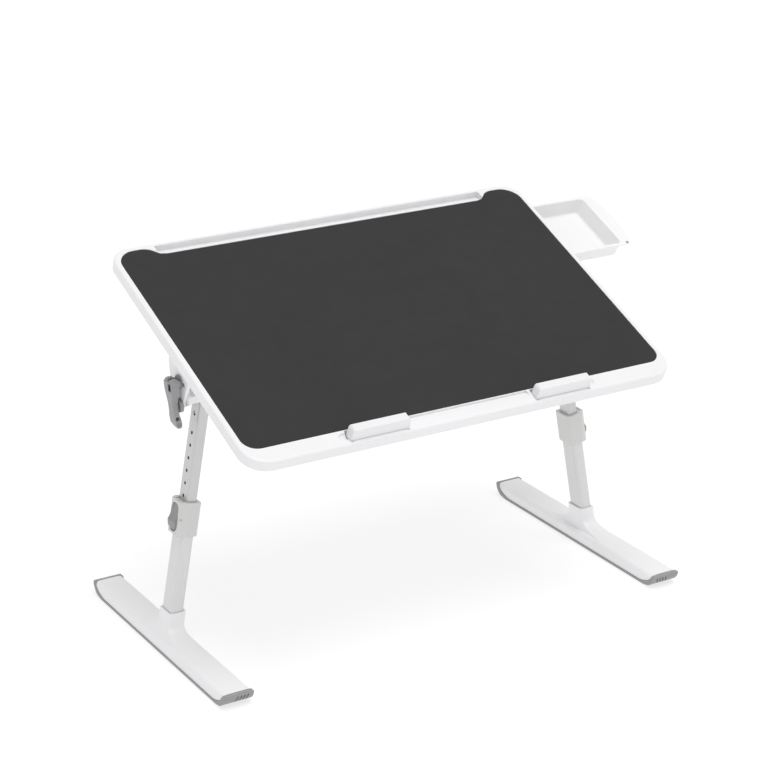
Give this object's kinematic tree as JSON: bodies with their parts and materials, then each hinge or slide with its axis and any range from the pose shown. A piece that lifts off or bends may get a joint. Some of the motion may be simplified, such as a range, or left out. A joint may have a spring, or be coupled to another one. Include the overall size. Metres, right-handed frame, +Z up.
{
  "type": "laptop stand with drawer",
  "caption": "Tilting lap desk top with a pull-out side drawer, device slot and flip-up stoppers, on splayed folding legs with telescopic tubes, cam clamps and long feet.",
  "frame": {"origin": "on the ground, under the middle of the stand's whole box, drawer drawn out", "axes": "+X to the drawer's side along the top's long edge, +Y from the stoppers to the raised rear edge, +Z up"},
  "size_m": [0.7496, 0.3878, 0.4613],
  "materials": {
    "white_plastic": "white moulded plastic, fine satin",
    "grey_plastic": "mid grey moulded plastic, satin",
    "collar_plastic": "light grey moulded plastic, satin",
    "button_plastic": "darker grey moulded plastic, satin",
    "board_core": "pale fibreboard with a white backing",
    "mat_laminate": "dark grey matt laminate",
    "tube_paint": "white powder-coated tube",
    "sole_grip": "grey soft grip",
    "steel": "zinc-plated steel"
  },
  "bodies": {
    "tabletop": {"desk_frame": "white_plastic", "desk_board": "board_core", "desk_mat": "mat_laminate", "sector_plate_left": "white_plastic", "sector_plate_right": "white_plastic", "sector_screw_left_1": "steel", "sector_screw_left_2": "steel", "sector_screw_left_3": "steel", "sector_screw_left_4": "steel", "sector_screw_right_1": "steel", "sector_screw_right_2": "steel", "sector_screw_right_3": "steel", "sector_screw_right_4": "steel", "drawer_runner_front": "white_plastic", "drawer_runner_rear": "white_plastic", "runner_screw_1": "steel", "runner_screw_2": "steel", "runner_screw_3": "steel", "runner_screw_4": "steel"},
    "drawer": {"drawer_tray": "white_plastic", "drawer_pip": "grey_plastic"},
    "stopper_left_body": {"stopper_left": "white_plastic"},
    "stopper_right_body": {"stopper_right": "white_plastic"},
    "bracket_left": {"tilt_bracket_left": "white_plastic", "pivot_bolt_left": "grey_plastic", "clamp_bolt_left": "steel", "clamp_nut_left": "steel", "clamp_washer_left": "grey_plastic", "fold_pin_left": "steel"},
    "bracket_right": {"tilt_bracket_right": "white_plastic", "pivot_bolt_right": "grey_plastic", "clamp_bolt_right": "steel", "clamp_nut_right": "steel", "clamp_washer_right": "grey_plastic", "fold_pin_right": "steel"},
    "lever_left": {"cam_lever_left": "grey_plastic", "lever_pin_left": "steel"},
    "lever_right": {"cam_lever_right": "grey_plastic", "lever_pin_right": "steel"},
    "upper_leg_left": {"leg_head_left": "white_plastic", "inner_tube_left": "tube_paint", "tube_glide_left": "grey_plastic"},
    "upper_leg_right": {"leg_head_right": "white_plastic", "inner_tube_right": "tube_paint", "tube_glide_right": "grey_plastic"},
    "lower_leg_left": {"outer_tube_left": "tube_paint", "leg_collar_left": "collar_plastic", "button_pin_left": "steel", "button_spring_left": "steel", "foot_shell_left": "white_plastic", "foot_sole_left": "sole_grip"},
    "lower_leg_right": {"outer_tube_right": "tube_paint", "leg_collar_right": "collar_plastic", "button_pin_right": "steel", "button_spring_right": "steel", "foot_shell_right": "white_plastic", "foot_sole_right": "sole_grip"},
    "button_left": {"lock_button_left": "button_plastic"},
    "button_right": {"lock_button_right": "button_plastic"}
  },
  "joints": [
    {"name": "drawer_slide", "type": "slide", "parent": "tabletop", "child": "drawer", "axis": [-1, 0, 0], "range_m": [-0.03, 0.115]},
    {"name": "stopper_left_flip", "type": "hinge", "parent": "tabletop", "child": "stopper_left_body", "pos_m": [-0.1712, -0.18747, 0.30826], "axis": [-1, 0, 0], "range_deg": [0, 90]},
    {"name": "stopper_right_flip", "type": "hinge", "parent": "tabletop", "child": "stopper_right_body", "pos_m": [0.0868, -0.18747, 0.30826], "axis": [-1, 0, 0], "range_deg": [0, 90]},
    {"name": "tilt_left", "type": "hinge", "parent": "tabletop", "child": "bracket_left", "pos_m": [-0.3282, 0.00992, 0.318], "axis": [1, 0, 0], "range_deg": [-13.4, 22.58]},
    {"name": "tilt_right", "type": "hinge", "parent": "tabletop", "child": "bracket_right", "pos_m": [0.2438, 0.00992, 0.318], "axis": [1, 0, 0], "range_deg": [-13.4, 22.58]},
    {"name": "lever_left_swing", "type": "hinge", "parent": "bracket_left", "child": "lever_left", "pos_m": [-0.3397, 0.00992, 0.343], "axis": [0, 1, 0], "range_deg": [0, 90]},
    {"name": "lever_right_swing", "type": "hinge", "parent": "bracket_right", "child": "lever_right", "pos_m": [0.2553, 0.00992, 0.343], "axis": [0, -1, 0], "range_deg": [0, 90]},
    {"name": "fold_left", "type": "hinge", "parent": "bracket_left", "child": "upper_leg_left", "pos_m": [-0.2997, 0.00992, 0.326], "axis": [0, -1, 0], "range_deg": [0, 85]},
    {"name": "fold_right", "type": "hinge", "parent": "bracket_right", "child": "upper_leg_right", "pos_m": [0.2153, 0.00992, 0.326], "axis": [0, 1, 0], "range_deg": [0, 85]},
    {"name": "height_left", "type": "slide", "parent": "upper_leg_left", "child": "lower_leg_left", "axis": [0.1771, 0, 0.9842], "range_m": [-0.048, 0.08]},
    {"name": "height_right", "type": "slide", "parent": "upper_leg_right", "child": "lower_leg_right", "axis": [-0.1771, 0, 0.9842], "range_m": [-0.048, 0.08]},
    {"name": "button_left_press", "type": "hinge", "parent": "lower_leg_left", "child": "button_left", "pos_m": [-0.34083, 0.00992, 0.17083], "axis": [0, -1, 0], "range_deg": [0, 7], "stiffness_Nm_per_rad": 0.5},
    {"name": "button_right_press", "type": "hinge", "parent": "lower_leg_right", "child": "button_right", "pos_m": [0.25643, 0.00992, 0.17083], "axis": [0, 1, 0], "range_deg": [0, 7], "stiffness_Nm_per_rad": 0.5}
  ],
  "couplings": [
    {"joint": "tilt_right", "follows": "tilt_left", "ratio": 1}
  ]
}
